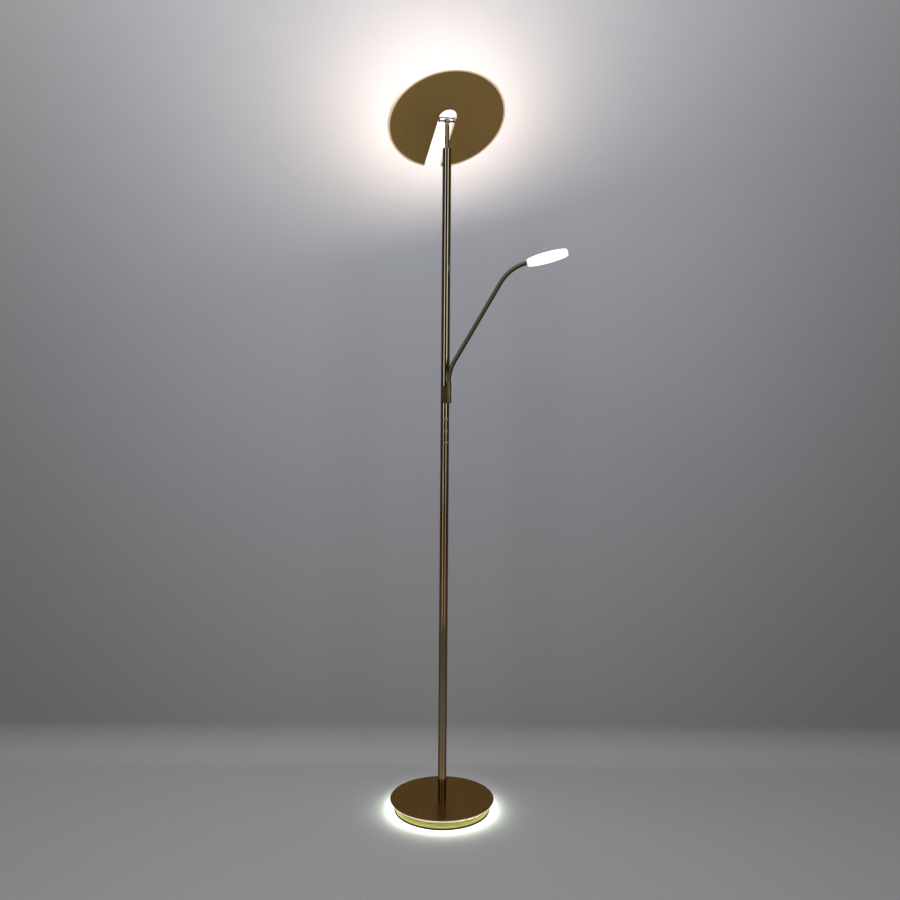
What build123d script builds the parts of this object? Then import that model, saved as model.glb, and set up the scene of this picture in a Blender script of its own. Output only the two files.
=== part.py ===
from build123d import *
import os
from math import cos, floor, radians, sin

os.makedirs("parts", exist_ok=True)

# Clearances
press_gap = 0.03
running_gap = 0.06
passing_gap = 0.4

# Base, from the floor up
foot_pad_margin = 7.0
foot_pad_thickness = 1.5
foot_pad_chamfer = 0.5
drum_radius = 125.0
drum_wall = 1.5
drum_height = 19.5
drum_round = 1.2
cover_height = 3.4
cover_lip = 1.5
cover_lip_chamfer = 0.6
cover_floor = 2.0
cover_spigot_wall = 3.0
cover_spigot_height = 2.0
cover_screw_radius = 2.0
cover_screw_head_radius = 3.8
cover_screw_head_height = 1.2
cover_screw_length = 14.0
cover_screw_circle = 85.0
cover_screw_count = 4
cover_screw_angle = 45.0
ballast_margin = 2.5
driver_length = 84.0
driver_width = 34.0
driver_height = 15.0
driver_round = 3.0
driver_edge_round = 1.0
driver_y = 58.0
driver_room = 3.0
lead_channel_width = 9.0
light_ring_inset = 1.5
light_ring_width = 32.5
light_ring_thickness = 4.5
light_ring_round = 1.2
strip_thickness = 1.2
strip_height = 4.0
base_plate_overhang = 12.0
base_plate_thickness = 1.5
base_plate_round = 0.5

# Threaded stud that ties the base to the pole
stud_radius = 5.0
stud_bore = 3.0
stud_hole_gap = 0.25
stud_grip = 28.0
stud_end_gap = 1.0
washer_radius = 15.0
washer_thickness = 2.0
nut_across_flats = 17.0
nut_height = 8.0
nut_recess_radius = 17.0

# Cord gland in the rear of the drum
gland_radius = 5.0
gland_bore = 3.2
gland_flange_radius = 7.0
gland_flange = 2.5
gland_nut_thickness = 2.2
gland_round = 0.8

# Pole
pole_radius = 11.0
pole_wall = 1.2
pole_top_z = 1720.4
pole_seam_z = 905.0
insert_height = 30.0
coupler_length = 50.0
coupler_bore = 6.0
bush_flange = 2.0
bush_shoulder = 6.0
bush_round = 0.5

# Neck that turns in the top of the pole
stem_radius = 5.5
stem_bore = 3.5
stem_depth = 30.0
grub_radius = 1.9
grub_height = 15.0
groove_depth = 1.1
groove_width = 4.4

# Uplight head, tilted about an axle that crosses its slot
axle_z = 1787.9
head_tilt = 40.0
axle_radius = 2.0
axle_head_radius = 2.6
axle_head_length = 1.4
knuckle_half = 4.5
knuckle_drop = 12.0
knuckle_collar = 3.0
knuckle_post = 6.0
knuckle_spigot = 18.0
knuckle_wire_bore = 2.0
knuckle_wire_exit = 1.5
knuckle_wire_rise = 4.6
collar_radius = 3.6
collar_length = 2.4
plate_rise = 2.0
head_plate_radius = 146.0
head_plate_thickness = 1.5
slot_half = 23.0
slot_back = 10.5
diffuser_rim = 5.0
diffuser_height = 12.0
diffuser_top = 2.5
diffuser_slot_wall = 2.5
diffuser_round = 3.0
plate_edge_gap = 0.3
bracket_sheet = 1.5
bracket_leg_width = 9.0
bracket_bridge_width = 3.0
bracket_leg_drop = 4.5
bracket_flange = 13.3
bracket_leg_gap = 2.0
rivet_radius = 1.5
rivet_head_radius = 2.6
rivet_head_height = 0.9
head_board_margin = 8.0
head_board_thickness = 1.6
head_board_slot_half = 40.0
board_stud_radius = 1.5
board_stud_height = 5.0
board_stud_circle = 100.0
board_stud_count = 4
board_stud_angle = 45.0
board_nut_across_flats = 5.5
board_nut_height = 2.0
led_size = 3.0
led_height = 0.8
head_led_circles = (75.0, 122.0)
head_led_counts = (20, 32)

# Push buttons in the front of the pole
button_z = (1035.9, 1006.2, 976.5)
button_names = ("uplight_button", "reading_button", "base_button")
button_radius = 2.7
button_reach = 2.2
button_dome = 0.9
button_flange_radius = 3.6
button_flange = 1.0
button_stem_radius = 1.6
button_travel = 0.8
bezel_radius = 3.9
bezel_sleeve_radius = 3.4
bezel_height = 0.9
bezel_round = 0.3
bezel_lap = 0.45
switch_size = 6.0
switch_depth = 3.8
plunger_radius = 1.7
plunger_length = 1.4
switch_board_width = 12.0
switch_board_thickness = 1.2
switch_board_y = 1.3
switch_board_margin = 20.0

# Bracket that carries the reading arm
bracket_z = 1078.9
bracket_height = 45.0
bracket_saddle_radius = 9.8
bracket_saddle_y = 6.0
bracket_reach = 29.0
bracket_nose_radius = 6.5
bracket_round = 1.8
bracket_top_round = 1.0
bracket_wire_radius = 1.3
bracket_wire_rise = 3.8
recess_height = 9.0
cap_thickness = 1.2
bracket_screw_radius = 2.0
bracket_screw_head_radius = 3.4
bracket_screw_head_height = 2.2
bracket_screw_length = 10.0
bracket_screw_z = (1089.9, 1112.9)
backing_width = 11.0
backing_face_y = 7.4
backing_margin = 5.0

# Reading arm
arm_swing = 70.8
pin_radius = 3.0
pin_bore = 1.6
ferrule_radius = 6.5
ferrule_height = 10.0
ferrule_groove = 0.5
ferrule_groove_rise = (2.5, 5.0)
retainer_radius = 4.2
retainer_height = 2.6
arm_radius = 5.3
arm_valley = 4.7
arm_bore = 3.0
arm_end = 10.0
arm_tail = 16.0
ferrule_seat = 2.0
rib_pitch = 4.6
rib_shape = ((0.0, 0), (0.25, 1), (0.6, 1), (0.85, 0))
lower_bend_radius = 99.0
lower_bend_angle = 30.0
upper_bend_radius = 107.0
upper_bend_angle = 45.3
straight_length = 230.0
bend_margin = 6.0

# Reading head
reading_radius = 53.0
reading_height = 14.4
reading_roll = 4.8
reading_wall = 5.5
reading_floor = 1.8
reading_round = 1.0
reading_rim_width = 4.0
reading_cover_thickness = 1.5
clamp_length = 12.0
clamp_width = 22.0
clamp_depth = 2.0
clamp_stud_y = 8.2
reading_board_margin = 3.5
reading_board_thickness = 1.2
reading_led_circle = 30.0
reading_led_count = 12

# Radii and heights of the base stack
foot_pad_radius = drum_radius - foot_pad_margin
base_plate_radius = drum_radius + base_plate_overhang
light_ring_radius = base_plate_radius - light_ring_inset
light_ring_bore = light_ring_radius - light_ring_width
cover_z = foot_pad_thickness
drum_z = cover_z + cover_height
drum_top_z = drum_z + drum_height
plate_z = drum_top_z + light_ring_thickness
pole_z = plate_z + base_plate_thickness
ballast_z = cover_z + cover_floor
ballast_top_z = drum_top_z - drum_wall
cover_radius = drum_radius + cover_lip
spigot_radius = drum_radius - drum_wall - passing_gap
ballast_radius = spigot_radius - cover_spigot_wall - ballast_margin
stud_z = ballast_z + stud_end_gap
nut_z = stud_z + stud_end_gap
washer_z = nut_z + nut_height
recess_top_z = washer_z + washer_thickness
stud_top_z = pole_z + stud_grip
stud_hole = stud_radius + stud_hole_gap
core_radius = light_ring_bore - strip_thickness - 2 * passing_gap
gland_z = drum_z + drum_height / 2
pole_bore = pole_radius - pole_wall

# Foot pad of soft rubber under the whole base
with BuildPart() as foot_pad:
    with BuildSketch(Plane.XY):
        Circle(foot_pad_radius)
    extrude(amount=foot_pad_thickness)
    chamfer(foot_pad.edges().group_by(Axis.Z)[0], foot_pad_chamfer)
foot_pad.part.label = "foot_pad"
export_step(foot_pad.part, "parts/foot_pad.step")

# Black bottom cover: a dish with a spigot that centres the drum
with BuildPart() as bottom_cover:
    with BuildSketch(Plane.XZ):
        with BuildLine():
            Polyline(
                (0, cover_z),
                (cover_radius, cover_z),
                (cover_radius, drum_z - cover_lip_chamfer),
                (cover_radius - cover_lip_chamfer, drum_z),
                (spigot_radius, drum_z),
                (spigot_radius, drum_z + cover_spigot_height),
                (spigot_radius - cover_spigot_wall, drum_z + cover_spigot_height),
                (spigot_radius - cover_spigot_wall, ballast_z),
                (0, ballast_z),
                close=True,
            )
        make_face()
    revolve(axis=Axis.Z)
    with Locations(Plane(origin=(0, 0, cover_z), z_dir=(0, 0, -1))):
        with PolarLocations(cover_screw_circle, cover_screw_count, cover_screw_angle):
            CounterBoreHole(
                cover_screw_radius + press_gap,
                cover_screw_head_radius + press_gap,
                cover_screw_head_height,
            )
bottom_cover.part.label = "bottom_cover"
export_step(bottom_cover.part, "parts/bottom_cover.step")

# Pan-head screws that hold the bottom cover to the ballast
with BuildPart() as cover_screws:
    with BuildSketch(Plane.XY.offset(cover_z)):
        with PolarLocations(cover_screw_circle, cover_screw_count, cover_screw_angle):
            Circle(cover_screw_head_radius)
    extrude(amount=cover_screw_head_height)
    with BuildSketch(Plane.XY.offset(cover_z + cover_screw_head_height)):
        with PolarLocations(cover_screw_circle, cover_screw_count, cover_screw_angle):
            Circle(cover_screw_radius)
    extrude(amount=cover_screw_length)
cover_screws.part.label = "cover_screws"
export_step(cover_screws.part, "parts/cover_screws.step")

# Cast ballast with a pocket for the driver and a channel for the wires
with BuildPart() as ballast:
    with BuildSketch(Plane.XY.offset(ballast_z)):
        Circle(ballast_radius)
        with PolarLocations(cover_screw_circle, cover_screw_count, cover_screw_angle):
            Circle(cover_screw_radius + press_gap, mode=Mode.SUBTRACT)
    extrude(amount=ballast_top_z - ballast_z)
    with BuildSketch(Plane.XY.offset(ballast_z)):
        Circle(nut_recess_radius)
    extrude(amount=recess_top_z - ballast_z, mode=Mode.SUBTRACT)
    with BuildSketch(Plane.XY.offset(ballast_z)):
        with Locations((0, driver_y)):
            Rectangle(driver_length + 2 * driver_room, driver_width + 2 * driver_room)
        Rectangle(lead_channel_width, drum_radius, align=(Align.CENTER, Align.MIN))
    extrude(amount=driver_height + driver_room, mode=Mode.SUBTRACT)
    with BuildSketch(Plane.XY.offset(ballast_z)):
        Circle(stud_hole)
    extrude(amount=ballast_top_z - ballast_z, mode=Mode.SUBTRACT)
ballast.part.label = "ballast"
export_step(ballast.part, "parts/ballast.step")

# LED driver that lies in the ballast's pocket
with BuildPart() as led_driver:
    with BuildSketch(Plane.XY.offset(ballast_z)):
        with Locations((0, driver_y)):
            RectangleRounded(driver_length, driver_width, driver_round)
    extrude(amount=driver_height)
    fillet(led_driver.edges().group_by(Axis.Z)[-1], driver_edge_round)
led_driver.part.label = "led_driver"
export_step(led_driver.part, "parts/led_driver.step")

# Spun drum: a shallow inverted cup with a rounded shoulder
with BuildPart() as base_drum:
    with BuildSketch(Plane.XY.offset(drum_z)):
        Circle(drum_radius)
    extrude(amount=drum_height)
    fillet(base_drum.edges().group_by(Axis.Z)[-1], drum_round)
    with BuildSketch(Plane.XY.offset(drum_z)):
        Circle(drum_radius - drum_wall)
    extrude(amount=drum_height - drum_wall, mode=Mode.SUBTRACT)
    with BuildSketch(Plane.XY.offset(drum_top_z)):
        Circle(stud_hole)
    extrude(amount=-drum_wall, mode=Mode.SUBTRACT)
    with BuildSketch(Plane(origin=(0, 0, gland_z), z_dir=(0, 1, 0))):
        Circle(gland_radius + press_gap)
    extrude(amount=drum_radius, mode=Mode.SUBTRACT)
base_drum.part.label = "base_drum"
export_step(base_drum.part, "parts/base_drum.step")

# Cord gland through the rear wall of the drum, and its nut inside
gland_nut_y = drum_radius - drum_wall - gland_flange_radius**2 / drum_radius - press_gap
gland_inner_y = gland_nut_y - gland_nut_thickness
with BuildPart() as cord_gland:
    with BuildSketch(Plane(origin=(0, gland_inner_y, gland_z), z_dir=(0, 1, 0))):
        Circle(gland_radius)
    extrude(amount=drum_radius + gland_flange - gland_inner_y)
    with BuildSketch(Plane(origin=(0, drum_radius + press_gap, gland_z), z_dir=(0, 1, 0))):
        Circle(gland_flange_radius)
    extrude(amount=gland_flange)
    fillet(cord_gland.edges().group_by(Axis.Y)[-1], gland_round)
    with BuildSketch(Plane(origin=(0, gland_inner_y, gland_z), z_dir=(0, 1, 0))):
        Circle(gland_bore)
    extrude(amount=drum_radius, mode=Mode.SUBTRACT)
cord_gland.part.label = "cord_gland"
export_step(cord_gland.part, "parts/cord_gland.step")

with BuildPart() as gland_nut:
    with BuildSketch(Plane(origin=(0, gland_inner_y, gland_z), z_dir=(0, 1, 0))):
        RegularPolygon(gland_flange_radius, 6)
        Circle(gland_radius + press_gap, mode=Mode.SUBTRACT)
    extrude(amount=gland_nut_thickness)
gland_nut.part.label = "gland_nut"
export_step(gland_nut.part, "parts/gland_nut.step")

# Aluminium core between drum and top plate, with the LED strip on its rim
with BuildPart() as base_core:
    with BuildSketch(Plane.XY.offset(drum_top_z)):
        Circle(core_radius)
        Circle(stud_hole, mode=Mode.SUBTRACT)
    extrude(amount=light_ring_thickness)
base_core.part.label = "base_core"
export_step(base_core.part, "parts/base_core.step")

with BuildPart() as base_led_strip:
    with BuildSketch(Plane.XY.offset(drum_top_z)):
        Circle(core_radius + press_gap + strip_thickness)
        Circle(core_radius + press_gap, mode=Mode.SUBTRACT)
    extrude(amount=min(strip_height, light_ring_thickness))
base_led_strip.part.label = "base_led_strip"
export_step(base_led_strip.part, "parts/base_led_strip.step")

# Opal ring that carries the light out under the top plate
with BuildPart() as base_light_ring:
    with BuildSketch(Plane.XY.offset(drum_top_z)):
        Circle(light_ring_radius)
        Circle(light_ring_bore, mode=Mode.SUBTRACT)
    extrude(amount=light_ring_thickness)
    ring_rim = base_light_ring.edges().filter_by(GeomType.CIRCLE).sort_by(SortBy.RADIUS)[-2:]
    fillet(ring_rim.sort_by(Axis.Z)[0], light_ring_round)
base_light_ring.part.label = "base_light_ring"
export_step(base_light_ring.part, "parts/base_light_ring.step")

# Brushed top plate that overhangs the drum
with BuildPart() as base_top_plate:
    with BuildSketch(Plane.XY.offset(plate_z)):
        Circle(base_plate_radius)
        Circle(stud_hole, mode=Mode.SUBTRACT)
    extrude(amount=base_plate_thickness)
    plate_rim = base_top_plate.edges().filter_by(GeomType.CIRCLE).sort_by(SortBy.RADIUS)[-2:]
    fillet(plate_rim, base_plate_round)
base_top_plate.part.label = "base_top_plate"
export_step(base_top_plate.part, "parts/base_top_plate.step")

# Hollow stud, washer and nut
with BuildPart() as pole_stud:
    with BuildSketch(Plane.XY.offset(stud_z)):
        Circle(stud_radius)
        Circle(stud_bore, mode=Mode.SUBTRACT)
    extrude(amount=stud_top_z - stud_z)
pole_stud.part.label = "pole_stud"
export_step(pole_stud.part, "parts/pole_stud.step")

with BuildPart() as stud_washer:
    with BuildSketch(Plane.XY.offset(washer_z)):
        Circle(washer_radius)
        Circle(stud_hole, mode=Mode.SUBTRACT)
    extrude(amount=washer_thickness)
stud_washer.part.label = "stud_washer"
export_step(stud_washer.part, "parts/stud_washer.step")

with BuildPart() as stud_nut:
    with BuildSketch(Plane.XY.offset(nut_z)):
        RegularPolygon(nut_across_flats / 2, 6, major_radius=False)
        Circle(stud_radius + press_gap, mode=Mode.SUBTRACT)
    extrude(amount=nut_height)
stud_nut.part.label = "stud_nut"
export_step(stud_nut.part, "parts/stud_nut.step")

# Threaded insert in the foot of the pole
with BuildPart() as pole_foot_insert:
    with BuildSketch(Plane.XY.offset(pole_z)):
        Circle(pole_bore - press_gap)
        Circle(stud_radius + press_gap, mode=Mode.SUBTRACT)
    extrude(amount=insert_height)
pole_foot_insert.part.label = "pole_foot_insert"
export_step(pole_foot_insert.part, "parts/pole_foot_insert.step")

# Lower pole and the coupler that joins it to the upper pole
with BuildPart() as lower_pole:
    with BuildSketch(Plane.XY.offset(pole_z)):
        Circle(pole_radius)
        Circle(pole_bore, mode=Mode.SUBTRACT)
    extrude(amount=pole_seam_z - pole_z)
lower_pole.part.label = "lower_pole"
export_step(lower_pole.part, "parts/lower_pole.step")

with BuildPart() as pole_coupler:
    with BuildSketch(Plane.XY.offset(pole_seam_z - coupler_length / 2)):
        Circle(pole_bore - press_gap)
        Circle(coupler_bore, mode=Mode.SUBTRACT)
    extrude(amount=coupler_length)
pole_coupler.part.label = "pole_coupler"
export_step(pole_coupler.part, "parts/pole_coupler.step")

# Upper pole, drilled for the buttons, the arm bracket and the grub screw
pole_tube_top = pole_top_z - bush_flange
grub_z = pole_tube_top - grub_height
bezel_hole = bezel_sleeve_radius + press_gap
bracket_wire_z = bracket_z + bracket_wire_rise
with BuildPart() as upper_pole:
    with BuildSketch(Plane.XY.offset(pole_seam_z)):
        Circle(pole_radius)
        Circle(pole_bore, mode=Mode.SUBTRACT)
    extrude(amount=pole_tube_top - pole_seam_z)
    for z in button_z:
        with Locations(Plane(origin=(0, -pole_radius, z), z_dir=(0, -1, 0))):
            Hole(bezel_hole, depth=pole_radius)
    for z in bracket_screw_z:
        with Locations(Plane(origin=(0, -pole_radius, z), z_dir=(0, -1, 0))):
            Hole(bracket_screw_radius + press_gap, depth=pole_radius)
    with Locations(Plane(origin=(0, -pole_radius, bracket_wire_z), z_dir=(0, -1, 0))):
        Hole(bracket_wire_radius, depth=pole_radius)
    with Locations(Plane(origin=(0, pole_radius, grub_z), z_dir=(0, 1, 0))):
        Hole(grub_radius + press_gap, depth=pole_radius)
upper_pole.part.label = "upper_pole"
export_step(upper_pole.part, "parts/upper_pole.step")

# Bush in the top of the pole: the neck stands on its inner shoulder
stem_z = pole_tube_top - stem_depth
with BuildPart() as pole_top_bush:
    with BuildSketch(Plane.XY.offset(stem_z - bush_shoulder)):
        Circle(pole_bore - press_gap)
    extrude(amount=stem_depth + bush_shoulder)
    with BuildSketch(Plane.XY.offset(pole_tube_top)):
        Circle(pole_radius)
    extrude(amount=bush_flange)
    fillet(pole_top_bush.edges().group_by(Axis.Z)[-1], bush_round)
    with BuildSketch(Plane.XY.offset(stem_z)):
        Circle(stem_radius + running_gap)
    extrude(amount=stem_depth + bush_flange, mode=Mode.SUBTRACT)
    with BuildSketch(Plane.XY.offset(stem_z - bush_shoulder)):
        Circle(stem_bore)
    extrude(amount=bush_shoulder, mode=Mode.SUBTRACT)
    with Locations(Plane(origin=(0, pole_radius, grub_z), z_dir=(0, 1, 0))):
        Hole(grub_radius + press_gap, depth=pole_radius)
pole_top_bush.part.label = "pole_top_bush"
export_step(pole_top_bush.part, "parts/pole_top_bush.step")

# Neck stem with the groove that the grub screw runs in
knuckle_z = axle_z - knuckle_drop
with BuildPart() as neck_stem:
    with BuildSketch(Plane.XY.offset(stem_z + running_gap)):
        Circle(stem_radius)
        Circle(stem_bore, mode=Mode.SUBTRACT)
    extrude(amount=knuckle_z - stem_z - running_gap)
    with BuildSketch(Plane.XY.offset(grub_z - groove_width / 2)):
        Circle(stem_radius)
        Circle(stem_radius - groove_depth, mode=Mode.SUBTRACT)
    extrude(amount=groove_width, mode=Mode.SUBTRACT)
neck_stem.part.label = "neck_stem"
export_step(neck_stem.part, "parts/neck_stem.step")

grub_tip_y = stem_radius - groove_depth + passing_gap
with BuildPart() as neck_grub_screw:
    with BuildSketch(Plane(origin=(0, grub_tip_y, grub_z), z_dir=(0, 1, 0))):
        Circle(grub_radius)
    extrude(amount=pole_radius - passing_gap - grub_tip_y)
neck_grub_screw.part.label = "neck_grub_screw"
export_step(neck_grub_screw.part, "parts/neck_grub_screw.step")

# Knuckle on top of the neck: a short barrel across it that the axle turns in, and a way out for the wires
axle_plane = Plane(origin=(0, 0, axle_z), x_dir=(0, 1, 0), z_dir=(1, 0, 0))
with BuildPart() as neck_knuckle:
    with BuildSketch(Plane.XY.offset(knuckle_z - knuckle_spigot)):
        Circle(stem_bore - press_gap)
    extrude(amount=knuckle_spigot)
    with BuildSketch(Plane.XY.offset(knuckle_z)):
        Circle(stem_radius)
    extrude(amount=knuckle_collar)
    with BuildSketch(axle_plane):
        Circle(stem_radius)
        Rectangle(knuckle_post, knuckle_drop, align=(Align.CENTER, Align.MAX))
        Circle(axle_radius + running_gap, mode=Mode.SUBTRACT)
    extrude(amount=knuckle_half, both=True)
    with BuildSketch(Plane.XY.offset(knuckle_z - knuckle_spigot)):
        Circle(knuckle_wire_bore)
    extrude(amount=knuckle_spigot + knuckle_wire_rise + knuckle_wire_exit, mode=Mode.SUBTRACT)
    with BuildSketch(Plane(origin=(0, 0, knuckle_z + knuckle_wire_rise), z_dir=(0, 1, 0))):
        Circle(knuckle_wire_exit)
    extrude(amount=stem_radius, mode=Mode.SUBTRACT)
neck_knuckle.part.label = "neck_knuckle"
export_step(neck_knuckle.part, "parts/neck_knuckle.step")

# The head's own frame: origin on the axle, Z out of its light side, Y down along the slot
head_normal = Vector(0, sin(radians(head_tilt)), cos(radians(head_tilt)))
head_plane = Plane(origin=(0, 0, axle_z), x_dir=(1, 0, 0), z_dir=head_normal)
head_section = Plane(origin=(0, 0, axle_z), x_dir=(1, 0, 0), z_dir=-head_plane.y_dir)
plate_top = plate_rise + head_plate_thickness
diffuser_radius = head_plate_radius + diffuser_rim
head_board_radius = head_plate_radius - head_board_margin
diffuser_face = plate_rise + diffuser_height
bracket_leg_face = slot_half - bracket_leg_gap
axle_half = bracket_leg_face + press_gap

# Axle with riveted heads, and the collars that keep the head centred on the knuckle
with BuildPart() as tilt_axle:
    with BuildSketch(axle_plane):
        Circle(axle_radius)
    extrude(amount=axle_half, both=True)
    for side in (-1, 1):
        with BuildSketch(axle_plane.offset(side * axle_half)):
            Circle(axle_head_radius)
        extrude(amount=side * axle_head_length)
tilt_axle.part.label = "tilt_axle"
export_step(tilt_axle.part, "parts/tilt_axle.step")

with BuildPart() as axle_collars:
    for side in (-1, 1):
        with BuildSketch(axle_plane.offset(side * (knuckle_half + running_gap))):
            Circle(collar_radius)
            Circle(axle_radius + press_gap, mode=Mode.SUBTRACT)
        extrude(amount=side * collar_length)
axle_collars.part.label = "axle_collars"
export_step(axle_collars.part, "parts/axle_collars.step")

# Folded pivot bracket: two legs through the slot, a narrow bridge, and flanges inside the head
leg_height = diffuser_face + bracket_leg_drop
rivet_x = bracket_leg_face + bracket_flange / 2
with BuildPart() as pivot_bracket:
    with BuildSketch(head_section):
        for side in (-1, 1):
            with Locations((side * (bracket_leg_face - bracket_sheet / 2), -bracket_leg_drop)):
                Rectangle(bracket_sheet, leg_height, align=(Align.CENTER, Align.MIN))
    extrude(amount=bracket_leg_width / 2, both=True)
    leg_ends = pivot_bracket.edges().filter_by(Axis.X).group_by(Axis((0, 0, axle_z), head_normal))[0]
    fillet(leg_ends, bracket_leg_width / 2 - press_gap)
    with BuildSketch(head_section):
        for side in (-1, 1):
            with Locations((side * (bracket_leg_face + bracket_flange / 2), plate_top)):
                Rectangle(bracket_flange, bracket_sheet, align=(Align.CENTER, Align.MIN))
    extrude(amount=bracket_leg_width / 2, both=True)
    with BuildSketch(head_section):
        with Locations((0, diffuser_face - bracket_sheet)):
            Rectangle(2 * bracket_leg_face, bracket_sheet, align=(Align.CENTER, Align.MIN))
    extrude(amount=bracket_bridge_width / 2, both=True)
    with BuildSketch(axle_plane):
        Circle(axle_radius + press_gap)
    extrude(amount=slot_half, both=True, mode=Mode.SUBTRACT)
    with BuildSketch(head_plane.offset(plate_top)):
        with Locations((-rivet_x, 0), (rivet_x, 0)):
            Circle(rivet_radius + press_gap)
    extrude(amount=bracket_sheet, mode=Mode.SUBTRACT)
pivot_bracket.part.label = "pivot_bracket"
export_step(pivot_bracket.part, "parts/pivot_bracket.step")

# Rivet studs raised on the plate's inner side hold the bracket's flanges
with BuildPart() as bracket_rivets:
    with BuildSketch(head_plane.offset(plate_top)):
        with Locations((-rivet_x, 0), (rivet_x, 0)):
            Circle(rivet_radius)
    extrude(amount=bracket_sheet)
    with BuildSketch(head_plane.offset(plate_top + bracket_sheet)):
        with Locations((-rivet_x, 0), (rivet_x, 0)):
            Circle(rivet_head_radius)
    extrude(amount=rivet_head_height)
bracket_rivets.part.label = "bracket_rivets"
export_step(bracket_rivets.part, "parts/bracket_rivets.step")

# Brushed head plate with its slot from the centre to the rim
slot_align = (Align.CENTER, Align.MIN)
with BuildPart() as head_plate:
    with BuildSketch(head_plane.offset(plate_rise)):
        Circle(head_plate_radius)
        with Locations((0, -slot_back)):
            Circle(slot_half, mode=Mode.SUBTRACT)
            Rectangle(2 * slot_half, 2 * diffuser_radius, align=slot_align, mode=Mode.SUBTRACT)
    extrude(amount=head_plate_thickness)
    with BuildSketch(head_plane.offset(plate_top)):
        with PolarLocations(board_stud_circle, board_stud_count, board_stud_angle):
            Circle(board_stud_radius)
    extrude(amount=board_stud_height)
head_plate.part.label = "head_plate"
export_step(head_plate.part, "parts/head_plate.step")

# LED board on the plate, cut clear of the bracket, with its LEDs and nuts
with BuildPart() as head_board:
    with BuildSketch(head_plane.offset(plate_top)):
        Circle(head_board_radius)
        with Locations((0, -slot_back)):
            Circle(head_board_slot_half, mode=Mode.SUBTRACT)
            Rectangle(2 * head_board_slot_half, 2 * diffuser_radius, align=slot_align, mode=Mode.SUBTRACT)
        with PolarLocations(board_stud_circle, board_stud_count, board_stud_angle):
            Circle(board_stud_radius + press_gap, mode=Mode.SUBTRACT)
    extrude(amount=head_board_thickness)
head_board.part.label = "head_board"
export_step(head_board.part, "parts/head_board.step")

board_face = plate_top + head_board_thickness
led_slot_half = head_board_slot_half + led_size
with BuildPart() as head_leds:
    with BuildSketch(head_plane.offset(board_face)):
        for ring_radius, ring_count in zip(head_led_circles, head_led_counts):
            with PolarLocations(ring_radius, ring_count):
                Rectangle(led_size, led_size)
        Rectangle(2 * led_slot_half, diffuser_radius, align=slot_align, mode=Mode.SUBTRACT)
    extrude(amount=led_height)
head_leds.part.label = "head_leds"
export_step(head_leds.part, "parts/head_leds.step")

with BuildPart() as head_board_nuts:
    with BuildSketch(head_plane.offset(board_face)):
        with PolarLocations(board_stud_circle, board_stud_count, board_stud_angle):
            RegularPolygon(board_nut_across_flats / 2, 6, major_radius=False)
            Circle(board_stud_radius + press_gap, mode=Mode.SUBTRACT)
    extrude(amount=board_nut_height)
head_board_nuts.part.label = "head_board_nuts"
export_step(head_board_nuts.part, "parts/head_board_nuts.step")

# Opal diffuser: a shallow tray over the plate, with walls along the slot
chamber_radius = head_plate_radius + plate_edge_gap
chamber_slot_half = slot_half + diffuser_slot_wall
notch_width = 2 * (bracket_leg_face + bracket_flange + passing_gap)
with BuildPart() as head_diffuser:
    with BuildSketch(head_plane.offset(plate_rise)):
        Circle(diffuser_radius)
    extrude(amount=diffuser_height)
    fillet(head_diffuser.edges().group_by(Axis((0, 0, axle_z), head_normal))[-1], diffuser_round)
    with BuildSketch(head_plane.offset(plate_rise)):
        with Locations((0, -slot_back)):
            Circle(slot_half)
            Rectangle(2 * slot_half, 2 * diffuser_radius, align=slot_align)
    extrude(amount=diffuser_height, mode=Mode.SUBTRACT)
    with BuildSketch(head_plane.offset(plate_rise)):
        Circle(chamber_radius)
    extrude(amount=head_plate_thickness, mode=Mode.SUBTRACT)
    with BuildSketch(head_plane.offset(plate_top)):
        Circle(chamber_radius)
        with Locations((0, -slot_back)):
            Circle(chamber_slot_half, mode=Mode.SUBTRACT)
            Rectangle(2 * chamber_slot_half, 2 * diffuser_radius, align=slot_align, mode=Mode.SUBTRACT)
    extrude(amount=diffuser_face - diffuser_top - plate_top, mode=Mode.SUBTRACT)
    with BuildSketch(head_plane.offset(plate_top)):
        Rectangle(notch_width, bracket_leg_width + 2 * passing_gap)
    extrude(amount=bracket_sheet + rivet_head_height + passing_gap, mode=Mode.SUBTRACT)
head_diffuser.part.label = "head_diffuser"
export_step(head_diffuser.part, "parts/head_diffuser.step")

# Switch carrier: a half-round trough in the pole, with the board and its push switches
carrier_z = min(button_z) - switch_board_margin
carrier_length = max(button_z) - min(button_z) + 2 * switch_board_margin
board_back_y = switch_board_y + switch_board_thickness
with BuildPart() as switch_carrier:
    with BuildSketch(Plane.XY.offset(carrier_z)):
        Circle(pole_bore - press_gap)
        with Locations((0, board_back_y)):
            Rectangle(2 * pole_radius, 2 * pole_radius, align=(Align.CENTER, Align.MAX), mode=Mode.SUBTRACT)
    extrude(amount=carrier_length)
switch_carrier.part.label = "switch_carrier"
export_step(switch_carrier.part, "parts/switch_carrier.step")

with BuildPart() as switch_board:
    with BuildSketch(Plane(origin=(0, switch_board_y, carrier_z), x_dir=(1, 0, 0), z_dir=(0, 1, 0))):
        Rectangle(switch_board_width, carrier_length, align=(Align.CENTER, Align.MAX))
    extrude(amount=switch_board_thickness)
switch_board.part.label = "switch_board"
export_step(switch_board.part, "parts/switch_board.step")

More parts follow.
